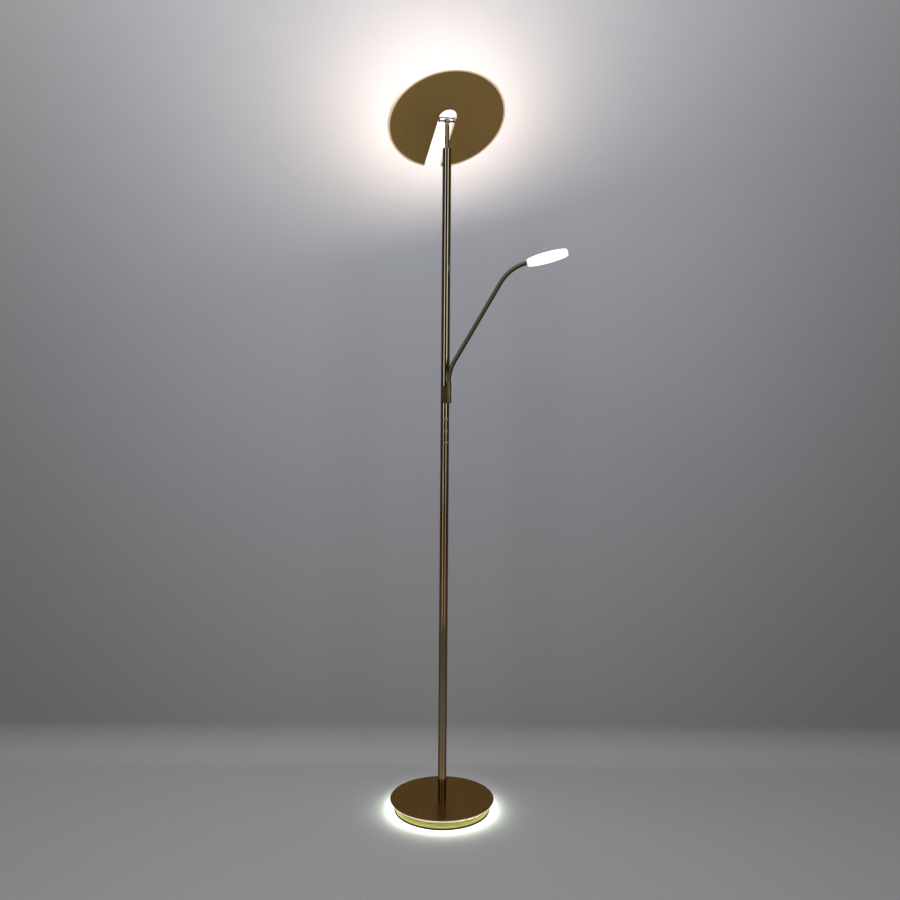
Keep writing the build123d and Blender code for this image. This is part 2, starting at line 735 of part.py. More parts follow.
switch_face_y = switch_board_y - switch_depth
plunger_y = switch_face_y - plunger_length
with BuildPart() as push_switches:
    for z in button_z:
        with BuildSketch(Plane(origin=(0, switch_board_y, z), z_dir=(0, -1, 0))):
            Rectangle(switch_size, switch_size)
        extrude(amount=switch_depth)
        with BuildSketch(Plane(origin=(0, switch_face_y, z), z_dir=(0, -1, 0))):
            Circle(plunger_radius)
        extrude(amount=plunger_length)
push_switches.part.label = "push_switches"
export_step(push_switches.part, "parts/push_switches.step")

# Bezels: a sleeve through the pole wall with a rim that follows the pole's round
bezel_face_y = -pole_radius - bezel_height
flange_front_y = -((pole_bore**2 - button_flange_radius**2) ** 0.5) + passing_gap
with BuildPart() as button_bezels:
    for z in button_z:
        with BuildSketch(Plane(origin=(0, bezel_face_y, z), z_dir=(0, 1, 0))):
            Circle(bezel_radius)
        extrude(amount=pole_radius)
    fillet(button_bezels.edges().group_by(Axis.Y)[0], bezel_round)
    with BuildSketch(Plane.XY.offset(carrier_z)):
        Circle(pole_radius + press_gap)
    extrude(amount=carrier_length, mode=Mode.SUBTRACT)
    for z in button_z:
        with BuildSketch(Plane(origin=(0, bezel_face_y + bezel_lap, z), z_dir=(0, 1, 0))):
            Circle(bezel_sleeve_radius)
        extrude(amount=flange_front_y - press_gap - bezel_face_y - bezel_lap)
    for z in button_z:
        with BuildSketch(Plane(origin=(0, bezel_face_y, z), z_dir=(0, 1, 0))):
            Circle(button_radius + running_gap)
        extrude(amount=pole_radius, mode=Mode.SUBTRACT)
button_bezels.part.label = "button_bezels"
export_step(button_bezels.part, "parts/button_bezels.step")

# Domed push buttons, each with a flange that stops it from falling out
button_edge_y = -pole_radius - button_reach + button_dome
button_back_y = plunger_y - button_travel - press_gap
flange_back_y = flange_front_y + button_flange
for button_name, z in zip(button_names, button_z):
    with BuildPart() as button:
        with BuildSketch(Plane.XY.offset(z)):
            with BuildLine():
                Polyline(
                    (0, button_back_y),
                    (button_stem_radius, button_back_y),
                    (button_stem_radius, flange_back_y),
                    (button_flange_radius, flange_back_y),
                    (button_flange_radius, flange_front_y),
                    (button_radius, flange_front_y),
                    (button_radius, button_edge_y),
                )
                EllipticalCenterArc(
                    (0, button_edge_y), button_radius, button_dome, start_angle=270, arc_size=90
                )
                Line((0, button_edge_y - button_dome), (0, button_back_y))
            make_face()
        revolve(axis=Axis((0, 0, z), (0, 1, 0)))
    button.part.label = button_name
    export_step(button.part, f"parts/{button_name}.step")

# Arm bracket: a streamlined block from the pole's saddle to the round nose that holds the arm,
# with a recess for the swivel's retainer and a wire hole from it into the pole
bracket_top_z = bracket_z + bracket_height
recess_radius = retainer_radius + passing_gap
retainer_z = bracket_z + recess_height - retainer_height - running_gap
with BuildPart() as arm_bracket:
    with BuildSketch(Plane.XY.offset(bracket_z)):
        with Locations((0, -bracket_saddle_y)):
            Circle(bracket_saddle_radius)
        with Locations((0, -bracket_reach)):
            Circle(bracket_nose_radius)
        make_hull()
    extrude(amount=bracket_height)
    fillet(arm_bracket.edges().group_by(Axis.Z)[0], bracket_round)
    fillet(arm_bracket.edges().group_by(Axis.Z)[-1], bracket_top_round)
    with BuildSketch(Plane.XY.offset(bracket_z)):
        Circle(pole_radius + press_gap)
        with Locations((0, pole_radius)):
            Rectangle(4 * pole_radius, 2 * pole_radius)
    extrude(amount=bracket_height, mode=Mode.SUBTRACT)
    with BuildSketch(Plane.XY.offset(bracket_z)):
        with Locations((0, -bracket_reach)):
            Circle(pin_radius + running_gap)
    extrude(amount=bracket_height, mode=Mode.SUBTRACT)
    with BuildSketch(Plane.XY.offset(bracket_z)):
        with Locations((0, -bracket_reach)):
            Circle(recess_radius)
    extrude(amount=recess_height, mode=Mode.SUBTRACT)
    for z in bracket_screw_z:
        with BuildSketch(Plane(origin=(0, -pole_bore, z), z_dir=(0, -1, 0))):
            Circle(bracket_screw_radius + press_gap)
        extrude(amount=bracket_screw_length, mode=Mode.SUBTRACT)
    with BuildSketch(Plane(origin=(0, 0, bracket_wire_z), z_dir=(0, -1, 0))):
        Circle(bracket_wire_radius)
    extrude(amount=bracket_reach, mode=Mode.SUBTRACT)
arm_bracket.part.label = "arm_bracket"
export_step(arm_bracket.part, "parts/arm_bracket.step")

# Cap that closes the swivel's recess from below
with BuildPart() as bracket_cap:
    with BuildSketch(Plane.XY.offset(bracket_z)):
        with Locations((0, -bracket_reach)):
            Circle(recess_radius - press_gap)
    extrude(amount=cap_thickness)
bracket_cap.part.label = "bracket_cap"
export_step(bracket_cap.part, "parts/bracket_cap.step")

# Backing plate inside the pole, and the screws that pull the bracket onto it
backing_z = min(bracket_screw_z) - backing_margin
backing_length = max(bracket_screw_z) - min(bracket_screw_z) + 2 * backing_margin
with BuildPart() as bracket_backing:
    with BuildSketch(Plane.XY.offset(backing_z)):
        Circle(pole_bore - press_gap)
        with Locations((0, -backing_face_y)):
            Rectangle(backing_width, 2 * pole_radius, align=(Align.CENTER, Align.MAX), mode=Mode.INTERSECT)
    extrude(amount=backing_length)
    for z in bracket_screw_z:
        with BuildSketch(Plane(origin=(0, -backing_face_y, z), z_dir=(0, -1, 0))):
            Circle(bracket_screw_radius + press_gap)
        extrude(amount=pole_radius, mode=Mode.SUBTRACT)
bracket_backing.part.label = "bracket_backing"
export_step(bracket_backing.part, "parts/bracket_backing.step")

with BuildPart() as bracket_screws:
    for z in bracket_screw_z:
        with BuildSketch(Plane(origin=(0, -backing_face_y, z), z_dir=(0, 1, 0))):
            Circle(bracket_screw_head_radius)
        extrude(amount=bracket_screw_head_height)
        with BuildSketch(Plane(origin=(0, -backing_face_y, z), z_dir=(0, -1, 0))):
            Circle(bracket_screw_radius)
        extrude(amount=bracket_screw_length)
bracket_screws.part.label = "bracket_screws"
export_step(bracket_screws.part, "parts/bracket_screws.step")

# Turned ferrule: its pin swivels in the bracket's nose and its cup holds the arm
ferrule_z = bracket_top_z + running_gap
ferrule_top_z = ferrule_z + ferrule_height
arm_z = ferrule_z + ferrule_seat
with BuildPart() as arm_ferrule:
    with BuildSketch(Plane.XY.offset(retainer_z)):
        with Locations((0, -bracket_reach)):
            Circle(pin_radius)
    extrude(amount=ferrule_z - retainer_z)
    with BuildSketch(Plane.XY.offset(ferrule_z)):
        with Locations((0, -bracket_reach)):
            Circle(ferrule_radius)
    extrude(amount=ferrule_height)
    fillet(arm_ferrule.edges().group_by(Axis.Z)[-1], ferrule_groove)
    for rise in ferrule_groove_rise:
        with BuildSketch(Plane.XY.offset(ferrule_z + rise)):
            with Locations((0, -bracket_reach)):
                Circle(ferrule_radius)
                Circle(ferrule_radius - ferrule_groove, mode=Mode.SUBTRACT)
        extrude(amount=2 * ferrule_groove, mode=Mode.SUBTRACT)
    with BuildSketch(Plane.XY.offset(arm_z)):
        with Locations((0, -bracket_reach)):
            Circle(arm_radius + press_gap)
    extrude(amount=ferrule_height, mode=Mode.SUBTRACT)
    with BuildSketch(Plane.XY.offset(retainer_z)):
        with Locations((0, -bracket_reach)):
            Circle(pin_bore)
    extrude(amount=ferrule_top_z - retainer_z, mode=Mode.SUBTRACT)
arm_ferrule.part.label = "arm_ferrule"
export_step(arm_ferrule.part, "parts/arm_ferrule.step")

with BuildPart() as arm_retainer:
    with BuildSketch(Plane.XY.offset(retainer_z)):
        with Locations((0, -bracket_reach)):
            Circle(retainer_radius)
            Circle(pin_radius + press_gap, mode=Mode.SUBTRACT)
    extrude(amount=retainer_height)
arm_retainer.part.label = "arm_retainer"
export_step(arm_retainer.part, "parts/arm_retainer.step")

# The arm lies in an upright plane through the bracket's nose: X outwards, Y up
arm_out = Vector(sin(radians(arm_swing)), -cos(radians(arm_swing)), 0)
arm_side = arm_out.cross(Vector(0, 0, 1))
arm_plane = Plane(origin=(0, -bracket_reach, 0), x_dir=arm_out, z_dir=arm_side)

with BuildLine(arm_plane) as lower_path:
    lower_lead = Line((0, arm_z), (0, arm_z + arm_end))
    lower_bend = JernArc(lower_lead @ 1, lower_lead % 1, lower_bend_radius, -lower_bend_angle)
    lower_tail = PolarLine(lower_bend @ 1, bend_margin, direction=lower_bend % 1)
with BuildLine(arm_plane) as middle_path:
    middle_run = PolarLine(lower_tail @ 1, straight_length - 2 * bend_margin, direction=lower_tail % 1)
with BuildLine(arm_plane) as upper_path:
    upper_lead = PolarLine(middle_run @ 1, bend_margin, direction=middle_run % 1)
    upper_bend = JernArc(upper_lead @ 1, upper_lead % 1, upper_bend_radius, -upper_bend_angle)
    upper_tail = PolarLine(upper_bend @ 1, arm_tail, direction=upper_bend % 1)


def rib_sections(length, lead, tail):
    """Distances along a stretch of arm, each with the arm's radius there."""
    count = floor((length - lead - tail) / rib_pitch)
    pitch = (length - lead - tail) / count
    step = (1 - rib_shape[-1][0]) * pitch
    sections = []
    if lead:
        sections += [(0, arm_radius), (lead - step, arm_radius)]
    for rib in range(count):
        for share, crest in rib_shape:
            radius = arm_radius if crest else arm_valley
            sections.append((lead + (rib + share) * pitch, radius))
    sections.append((length - tail, arm_valley))
    if tail:
        sections += [(length - tail + step, arm_radius), (length, arm_radius)]
    return sections


# Ribbed flexible arm in three stretches: lower bend, straight middle, upper bend
arm_stretches = (
    ("gooseneck_lower", lower_path, arm_end, 0),
    ("gooseneck_middle", middle_path, 0, 0),
    ("gooseneck_upper", upper_path, 0, arm_tail),
)
for stretch_name, path, lead, tail in arm_stretches:
    route = path.wires()[0]
    with BuildPart() as gooseneck:
        for distance, radius in rib_sections(route.length, lead, tail):
            point = route.position_at(distance, position_mode=PositionMode.LENGTH)
            heading = route.tangent_at(distance, position_mode=PositionMode.LENGTH)
            with BuildSketch(Plane(origin=point, x_dir=arm_side, z_dir=heading)):
                Circle(radius)
        loft(ruled=True)
        with BuildSketch(Plane(origin=route @ 0, x_dir=arm_side, z_dir=route % 0)):
            Circle(arm_bore)
        sweep(path=route, mode=Mode.SUBTRACT)
    gooseneck.part.label = stretch_name
    export_step(gooseneck.part, f"parts/{stretch_name}.step")

# The reading head's own frame: X along the end of the arm, Z out of its metal side, rolled to show the light
reading_rim = upper_bend @ 1
reading_out = upper_bend % 1
reading_up = arm_side.cross(reading_out).rotate(Axis((0, 0, 0), reading_out), -reading_roll)
reading_plane = Plane(
    origin=reading_rim + reading_out * reading_radius, x_dir=reading_out, z_dir=reading_up
)
reading_half = reading_height / 2
cover_under = reading_half - reading_cover_thickness
reading_cover_radius = reading_radius - reading_rim_width
chamber = reading_radius - reading_wall
reading_board_radius = chamber - reading_board_margin
clamp_start = -((chamber**2 - (clamp_width / 2) ** 2) ** 0.5) + passing_gap
clamp_x = clamp_start + clamp_length / 2
clamp_studs = [(clamp_x, side * clamp_stud_y) for side in (-1, 1)]
clamp_face = -clamp_depth

# Brushed cover on the upper side, with studs for the clamp
with BuildPart() as reading_cover:
    with BuildSketch(reading_plane.offset(cover_under)):
        Circle(reading_cover_radius)
    extrude(amount=reading_cover_thickness)
    with BuildSketch(reading_plane.offset(cover_under)):
        with Locations(*clamp_studs):
            Circle(board_stud_radius)
    extrude(amount=-(cover_under - clamp_face + board_nut_height))
reading_cover.part.label = "reading_cover"
export_step(reading_cover.part, "parts/reading_cover.step")

# Clamp that holds the end of the arm under the cover, and its nuts
with BuildPart() as reading_clamp:
    with BuildSketch(reading_plane.offset(clamp_face)):
        with Locations((clamp_x, 0)):
            Rectangle(clamp_length, clamp_width)
        with Locations(*clamp_studs):
            Circle(board_stud_radius + press_gap, mode=Mode.SUBTRACT)
    extrude(amount=cover_under - clamp_face)
    with BuildSketch(Plane(origin=reading_rim, x_dir=arm_side, z_dir=reading_out)):
        Circle(arm_radius + press_gap)
    extrude(amount=2 * reading_radius, mode=Mode.SUBTRACT)
reading_clamp.part.label = "reading_clamp"
export_step(reading_clamp.part, "parts/reading_clamp.step")

with BuildPart() as clamp_nuts:
    with BuildSketch(reading_plane.offset(clamp_face)):
        with Locations(*clamp_studs):
            RegularPolygon(board_nut_across_flats / 2, 6, major_radius=False, rotation=30)
            Circle(board_stud_radius + press_gap, mode=Mode.SUBTRACT)
    extrude(amount=-board_nut_height)
clamp_nuts.part.label = "clamp_nuts"
export_step(clamp_nuts.part, "parts/clamp_nuts.step")

# LED board under the cover, cut clear of the clamp, and its LEDs
with BuildPart() as reading_board:
    with BuildSketch(reading_plane.offset(cover_under)):
        Circle(reading_board_radius)
        with Locations((clamp_x + clamp_length / 2 + passing_gap, 0)):
            Rectangle(
                reading_radius,
                clamp_width + 2 * passing_gap,
                align=(Align.MAX, Align.CENTER),
                mode=Mode.SUBTRACT,
            )
    extrude(amount=-reading_board_thickness)
reading_board.part.label = "reading_board"
export_step(reading_board.part, "parts/reading_board.step")

with BuildPart() as reading_leds:
    with BuildSketch(reading_plane.offset(cover_under - reading_board_thickness)):
        with PolarLocations(reading_led_circle, reading_led_count):
            Rectangle(led_size, led_size)
    extrude(amount=-led_height)
reading_leds.part.label = "reading_leds"
export_step(reading_leds.part, "parts/reading_leds.step")

# Opal diffuser: a round cup with a ledge for the cover and a hole for the arm in its rim
with BuildPart() as reading_diffuser:
    with BuildSketch(reading_plane.offset(-reading_half)):
        Circle(reading_radius)
    extrude(amount=reading_height)
    fillet(reading_diffuser.edges(), reading_round)
    with BuildSketch(reading_plane.offset(cover_under)):
        Circle(reading_cover_radius + plate_edge_gap)
    extrude(amount=reading_cover_thickness, mode=Mode.SUBTRACT)
    with BuildSketch(reading_plane.offset(cover_under)):
        Circle(chamber)
    extrude(amount=-(reading_height - reading_cover_thickness - reading_floor), mode=Mode.SUBTRACT)
    with BuildSketch(Plane(origin=reading_rim - reading_out, x_dir=arm_side, z_dir=reading_out)):
        Circle(arm_radius + press_gap)
    extrude(amount=reading_radius, mode=Mode.SUBTRACT)
reading_diffuser.part.label = "reading_diffuser"
export_step(reading_diffuser.part, "parts/reading_diffuser.step")
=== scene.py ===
from math import cos, pi, radians, sin, tan

import bpy
from mathutils import Matrix, Vector


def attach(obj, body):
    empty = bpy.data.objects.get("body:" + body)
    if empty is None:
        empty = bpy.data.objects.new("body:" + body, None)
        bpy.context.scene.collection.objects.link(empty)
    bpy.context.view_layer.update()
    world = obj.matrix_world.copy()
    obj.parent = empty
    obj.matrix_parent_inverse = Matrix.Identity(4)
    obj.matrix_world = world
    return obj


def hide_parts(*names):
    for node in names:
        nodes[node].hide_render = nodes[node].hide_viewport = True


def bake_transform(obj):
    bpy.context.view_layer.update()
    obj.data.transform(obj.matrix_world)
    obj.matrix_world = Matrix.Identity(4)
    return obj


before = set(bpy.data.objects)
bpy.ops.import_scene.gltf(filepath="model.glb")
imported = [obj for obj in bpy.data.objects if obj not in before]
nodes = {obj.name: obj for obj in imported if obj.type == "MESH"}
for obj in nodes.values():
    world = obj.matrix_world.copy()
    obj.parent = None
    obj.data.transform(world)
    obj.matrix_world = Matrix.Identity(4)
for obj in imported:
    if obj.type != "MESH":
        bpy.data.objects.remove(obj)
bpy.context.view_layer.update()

# Foot pad: one disc of soft black rubber, punched from sheet and glued under the base so that it neither
# slips nor scratches. The sheet's grain is fine and quite matt.
noise_roughness = 0.6
noise_low = 0.3
noise_high = 0.7
cloud_scale = (60, 60, 60)
dull_swing = 0.06
grain_depth = 0.00008
grain_strength = 0.25
weld_distance = 0.000002
crease_angle = radians(28)
flat_weight = 100


def new_material(name):
    """A material with one Principled shader, with its nodes and links."""
    material = bpy.data.materials.new(name)
    material.use_nodes = True
    return material, material.node_tree.nodes, material.node_tree.links


def streaks(material, scale, detail, name, rotation=(0, 0, 0)):
    """Noise on the object's own coordinates, turned and stretched so that it runs along the work."""
    tree = material.node_tree
    place = tree.nodes.new("ShaderNodeTexCoord")
    mapping = tree.nodes.new("ShaderNodeMapping")
    mapping.vector_type = "TEXTURE"
    mapping.inputs["Rotation"].default_value = rotation
    stretch = tree.nodes.new("ShaderNodeVectorMath")
    stretch.operation = "MULTIPLY"
    stretch.inputs[1].default_value = scale
    noise = tree.nodes.new("ShaderNodeTexNoise")
    noise.label = name
    noise.inputs["Scale"].default_value = 1.0
    noise.inputs["Detail"].default_value = detail
    noise.inputs["Roughness"].default_value = noise_roughness
    tree.links.new(place.outputs["Object"], mapping.inputs["Vector"])
    tree.links.new(mapping.outputs["Vector"], stretch.inputs[0])
    tree.links.new(stretch.outputs["Vector"], noise.inputs["Vector"])
    return noise.outputs["Fac"]


def spread(material, value, low, high):
    """A noise value, which keeps near the middle of its range, stretched to run from low to high."""
    ramp = material.node_tree.nodes.new("ShaderNodeMapRange")
    ramp.inputs["From Min"].default_value = noise_low
    ramp.inputs["From Max"].default_value = noise_high
    ramp.inputs["To Min"].default_value = low
    ramp.inputs["To Max"].default_value = high
    material.node_tree.links.new(value, ramp.inputs["Value"])
    return ramp.outputs["Result"]


def tint(material, value, low, high):
    """A colour between two, by a noise value."""
    ramp = material.node_tree.nodes.new("ShaderNodeValToRGB")
    ramp.color_ramp.elements[0].position = noise_low
    ramp.color_ramp.elements[0].color = (*low, 1)
    ramp.color_ramp.elements[1].position = noise_high
    ramp.color_ramp.elements[1].color = (*high, 1)
    material.node_tree.links.new(value, ramp.inputs["Fac"])
    return ramp.outputs["Color"]


def raise_grain(material, value, depth, strength):
    """Bump on the shader from a noise value, with the real depth of the marks."""
    tree = material.node_tree
    bump = tree.nodes.new("ShaderNodeBump")
    bump.inputs["Distance"].default_value = depth
    bump.inputs["Strength"].default_value = strength
    tree.links.new(value, bump.inputs["Height"])
    tree.links.new(bump.outputs["Normal"], tree.nodes["Principled BSDF"].inputs["Normal"])


def dull_finish(name, low, high, roughness, grain, metallic=0.0, gloss=0.5):
    """A moulded, cast or plated surface: two near tones, uneven roughness and a fine grain."""
    material, parts, links = new_material(name)
    shader = parts["Principled BSDF"]
    shader.inputs["Metallic"].default_value = metallic
    shader.inputs["Specular IOR Level"].default_value = gloss
    cloud = streaks(material, cloud_scale, detail=4, name="tone")
    links.new(tint(material, cloud, low, high), shader.inputs["Base Color"])
    fine = streaks(material, (grain, grain, grain), detail=3, name="grain")
    uneven = spread(material, fine, roughness - dull_swing, roughness + dull_swing)
    links.new(uneven, shader.inputs["Roughness"])
    raise_grain(material, fine, grain_depth, grain_strength)
    return material


def smooth_tree(crease):
    """Nodes that join a CAD piece's triangles and shade it smooth, but for edges sharper than a crease."""
    tree = bpy.data.node_groups.new("smooth_between_edges", "GeometryNodeTree")
    tree.is_modifier = True
    tree.interface.new_socket("Geometry", in_out="INPUT", socket_type="NodeSocketGeometry")
    limit = tree.interface.new_socket("Crease angle", in_out="INPUT", socket_type="NodeSocketFloat")
    limit.default_value = crease
    tree.interface.new_socket("Geometry", in_out="OUTPUT", socket_type="NodeSocketGeometry")
    given = tree.nodes.new("NodeGroupInput")
    made = tree.nodes.new("NodeGroupOutput")
    merge = tree.nodes.new("GeometryNodeMergeByDistance")
    merge.inputs["Distance"].default_value = weld_distance
    angle = tree.nodes.new("GeometryNodeInputMeshEdgeAngle")
    sharp = tree.nodes.new("FunctionNodeCompare")
    sharp.operation = "GREATER_THAN"
    soft = tree.nodes.new("GeometryNodeSetShadeSmooth")
    hard = tree.nodes.new("GeometryNodeSetShadeSmooth")
    hard.domain = "EDGE"
    hard.inputs["Shade Smooth"].default_value = False
    tree.links.new(given.outputs["Geometry"], merge.inputs["Geometry"])
    tree.links.new(merge.outputs["Geometry"], soft.inputs["Geometry"])
    tree.links.new(soft.outputs["Geometry"], hard.inputs["Geometry"])
    tree.links.new(angle.outputs["Unsigned Angle"], sharp.inputs["A"])
    tree.links.new(given.outputs["Crease angle"], sharp.inputs["B"])
    tree.links.new(sharp.outputs["Result"], hard.inputs["Selection"])
    tree.links.new(hard.outputs["Geometry"], made.inputs["Geometry"])
    return tree


smooth_between_edges = smooth_tree(crease_angle)


def finish_nodes(material, *names):
    """Gives CAD pieces their finish, and rounds the shading of their curved faces."""
    for name in names:
        piece = nodes[name]
        piece.data.materials.clear()
        piece.data.materials.append(material)
        piece.modifiers.new("smooth", "NODES").node_group = smooth_between_edges
        flats = piece.modifiers.new("flats", "WEIGHTED_NORMAL")
        flats.keep_sharp = True
        flats.weight = flat_weight


rubber = dull_finish(
    "black_rubber", (0.006, 0.006, 0.006), (0.010, 0.010, 0.009), roughness=0.8, grain=900, gloss=0.15
)
finish_nodes(rubber, "foot_pad")

# Bottom cover, cord gland, driver case and switches: black moulded plastic. The cover is screwed up into the
# ballast, and its thin black rim is all that shows below the drum. The gland is nutted into the drum's rear
# wall, and the switches stand on a carrier inside the pole.
black_plastic = dull_finish(
    "black_plastic", (0.005, 0.005, 0.005), (0.008, 0.008, 0.008), roughness=0.6, grain=1400, gloss=0.15
)
finish_nodes(
    black_plastic, "bottom_cover", "cord_gland", "gland_nut", "led_driver", "switch_carrier", "push_switches"
)

# Ballast, with the steel screws, stud, washer and nuts that hold the lamp together: cast iron and zinc plate,
# most of them out of sight inside the base, the pole and the heads.
cast_iron = dull_finish(
    "cast_iron", (0.035, 0.035, 0.037), (0.06, 0.058, 0.056), roughness=0.7, grain=500
)
zinc = dull_finish(
    "zinc_plate", (0.42, 0.42, 0.42), (0.52, 0.52, 0.51), roughness=0.35, grain=1200, metallic=1.0
)
finish_nodes(cast_iron, "ballast")
finish_nodes(
    zinc, "cover_screws", "pole_stud", "stud_washer", "stud_nut", "neck_grub_screw", "head_board_nuts",
    "bracket_backing", "bracket_screws", "arm_retainer", "reading_clamp", "clamp_nuts",
)

# Drum: spun from yellow brass sheet and brushed as it turned, so its marks run round the lamp. It sits on the
# bottom cover's spigot and takes the light of the ring above it; that light's yellow-green is also painted
# into its brass.
brass_edge = (0.9, 0.75, 0.55)
streak_share = 0.6
brushed_swing = 0.03
lacquer_roughness = 0.14
brush_depth = 0.00001
brush_strength = 0.08


def brushed_brass(
    name, colour, roughness, hair_scale, band_scale,
    rotation=(0, 0, 0), tone_swing=0.06, coat=0.0, edge=brass_edge,
):
    """Lacquered brass with brush marks: fine hairlines, with broader soft streaks among them."""
    material, parts, links = new_material(name)
    shader = parts["Principled BSDF"]
    shader.inputs["Metallic"].default_value = 1.0
    hair = streaks(material, hair_scale, detail=3, name="hairlines", rotation=rotation)
    band = streaks(material, band_scale, detail=3, name="streaks", rotation=rotation)
    mix = parts.new("ShaderNodeMix")
    mix.inputs["Factor"].default_value = streak_share
    links.new(hair, mix.inputs["A"])
    links.new(band, mix.inputs["B"])
    low = tuple(value * (1 - tone_swing) for value in colour)
    high = tuple(value * (1 + tone_swing) for value in colour)
    links.new(tint(material, mix.outputs["Result"], low, high), shader.inputs["Base Color"])
    uneven = spread(material, hair, roughness - brushed_swing, roughness + brushed_swing)
    links.new(uneven, shader.inputs["Roughness"])
    shader.inputs["Specular Tint"].default_value = (*edge, 1)
    shader.inputs["Coat Weight"].default_value = coat
    shader.inputs["Coat Roughness"].default_value = lacquer_roughness
    raise_grain(material, hair, brush_depth, brush_strength)
    return material


# Painted light: the brass is tinted yellow-green and paler, the ring's light painted onto the drum.
painted_ring_light_brass = (0.36, 0.311, 0.088)
spun_brass = brushed_brass(
    "brass_spun_drum", painted_ring_light_brass, roughness=0.28, hair_scale=(20, 20, 2200), band_scale=(12, 12, 420)
)
finish_nodes(spun_brass, "base_drum")

# Core, strip and light ring: an aluminium disc carries the LED strip on its rim, and a machined ring of opal
# acrylic takes the light out under the top plate and down onto the floor.
aluminium = dull_finish(
    "mill_aluminium", (0.60, 0.60, 0.61), (0.72, 0.72, 0.73), roughness=0.35, grain=1500, metallic=1.0
)
white_board = dull_finish(
    "white_solder_mask", (0.70, 0.71, 0.69), (0.80, 0.81, 0.79), roughness=0.4, grain=1800
)
finish_nodes(aluminium, "base_core", "pole_foot_insert", "pole_coupler")
finish_nodes(white_board, "base_led_strip", "head_board", "reading_board", "switch_board")
rim_fade = 0.014
edge_cosine = 0.93
face_cosine = 0.995
uneven_scale = (30, 30, 30)
uneven_share = 0.94
satin_scale = (900, 900, 900)
satin_low = 0.4
satin_high = 0.5


def lit_opal(name, face_colour, strength, facing, edge_colour, body=(0.70, 0.69, 0.66), round_face=None):
    """Opal acrylic with its LEDs on: full light out of the face that looks one way, a soft glow at its edges.

    A round face, given by its centre and radius, dims towards its rim.
    """
    material, parts, links = new_material(name)
    shader = parts["Principled BSDF"]
    shader.inputs["Base Color"].default_value = (*body, 1)
    shader.inputs["Emission Strength"].default_value = strength
    place = parts.new("ShaderNodeTexCoord")
    square = parts.new("ShaderNodeVectorMath")
    square.operation = "DOT_PRODUCT"
    square.inputs[1].default_value = facing
    share = parts.new("ShaderNodeMapRange")
    share.inputs["From Min"].default_value = edge_cosine
    share.inputs["From Max"].default_value = face_cosine
    links.new(place.outputs["Normal"], square.inputs[0])
    links.new(square.outputs["Value"], share.inputs["Value"])
    lit = share.outputs["Result"]
    if round_face:
        centre, radius = round_face
        away = parts.new("ShaderNodeVectorMath")
        away.operation = "DISTANCE"
        away.inputs[1].default_value = centre
        fade = parts.new("ShaderNodeMapRange")
        fade.inputs["From Min"].default_value = radius - rim_fade
        fade.inputs["From Max"].default_value = radius
        fade.inputs["To Min"].default_value = 1.0
        fade.inputs["To Max"].default_value = 0.0
        dimmed = parts.new("ShaderNodeMath")
        dimmed.operation = "MULTIPLY"
        links.new(place.outputs["Object"], away.inputs[0])
        links.new(away.outputs["Value"], fade.inputs["Value"])
        links.new(lit, dimmed.inputs[0])
        links.new(fade.outputs["Result"], dimmed.inputs[1])
        lit = dimmed.outputs["Value"]
    cloud = streaks(material, uneven_scale, detail=2, name="uneven_light")
    edge = tuple(value / strength for value in edge_colour)
    dim = tuple(uneven_share * value for value in edge)
    blend = parts.new("ShaderNodeMix")
    blend.data_type = "RGBA"
    blend.inputs["B"].default_value = (*face_colour, 1)
    links.new(lit, blend.inputs["Factor"])
    links.new(tint(material, cloud, dim, edge), blend.inputs["A"])
    links.new(blend.outputs["Result"], shader.inputs["Emission Color"])
    fine = streaks(material, satin_scale, detail=2, name="satin")
    links.new(spread(material, fine, satin_low, satin_high), shader.inputs["Roughness"])
    return material


ring_opal = lit_opal(
    "opal_base_ring", face_colour=(0.88, 1.0, 0.84), strength=33.0, facing=(0, 0, -1),
    edge_colour=(0.30, 0.29, 0.25),
)
finish_nodes(ring_opal, "base_light_ring")

# Top plate: a disc of brass sheet, brushed straight across and then lacquered. The stud clamps it between the
# core and the pole's foot.
photo_azimuth = radians(-19.2)
plate_brass = brushed_brass(
    "brass_brushed_plate", (0.36, 0.22, 0.075), roughness=0.25, hair_scale=(1500, 6, 6),
    band_scale=(230, 4, 4), rotation=(0, 0, photo_azimuth),
)
finish_nodes(plate_brass, "base_top_plate")

# Pole: two lengths of drawn and polished brass tube on an inner coupler, with a turned bush in the top end
# that guides the neck's stem. A grub screw at the back holds the stem.
drawn_brass = brushed_brass(
    "brass_drawn_tube", (0.25, 0.185, 0.108), roughness=0.12, hair_scale=(1600, 1600, 5),
    band_scale=(500, 500, 3), tone_swing=0.04, coat=0.1, edge=(0.15, 0.12, 0.09),
)
finish_nodes(drawn_brass, "lower_pole", "upper_pole", "pole_top_bush")

# Stem and knuckle: turned and milled from brass bar, with a warmer and softer polish than the tube's. The
# knuckle's spigot is pressed into the stem's bored end.
polished_brass = brushed_brass(
    "brass_polished", (0.19, 0.135, 0.065), roughness=0.30, hair_scale=(20, 20, 2400),
    band_scale=(16, 16, 400), tone_swing=0.05,
)
finish_nodes(polished_brass, "neck_stem", "neck_knuckle")

# Tilt axle and collars: dark steel across the slot of the head. The bracket that holds them is folded from
# thin sheet and riveted to the plate's back.
dark_steel = dull_finish(
    "dark_steel", (0.030, 0.026, 0.020), (0.045, 0.039, 0.030), roughness=0.35, grain=1200, metallic=1.0
)
grey_steel = dull_finish(
    "grey_steel", (0.30, 0.28, 0.25), (0.38, 0.36, 0.32), roughness=0.4, grain=1200, metallic=1.0
)
finish_nodes(dark_steel, "tilt_axle", "axle_collars", "bracket_rivets")
finish_nodes(grey_steel, "pivot_bracket")
